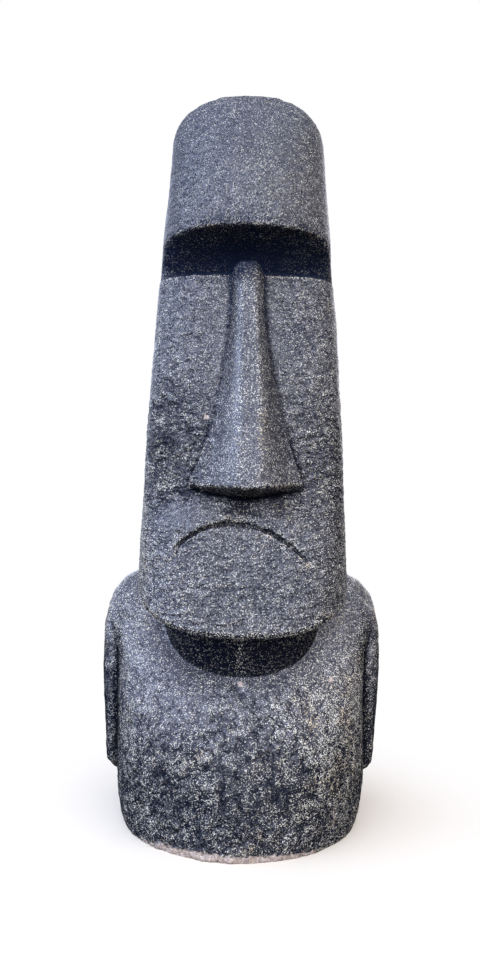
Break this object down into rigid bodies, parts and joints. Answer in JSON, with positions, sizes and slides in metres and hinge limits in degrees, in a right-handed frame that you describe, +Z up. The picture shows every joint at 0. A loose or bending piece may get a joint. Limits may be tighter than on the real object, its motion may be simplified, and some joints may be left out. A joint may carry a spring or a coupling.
{
  "type": "moai statue",
  "caption": "Moai garden statue: a tall stylised stone head with a heavy brow, long nose and down-turned mouth on low shoulders, standing on a flat underside.",
  "frame": {"origin": "middle of the bounding box seen from above, on the flat underside", "axes": "+Z up along the head, -Y the way the face looks, +X to the right of someone looking at the face"},
  "size_m": [0.3916, 0.3102, 1],
  "materials": {
    "cast_stone": "cast stone with a hammered relief, painted anthracite and rubbed with cream flecks"
  },
  "bodies": {
    "root": {"moai_statue": "cast_stone"}
  },
  "joints": []
}
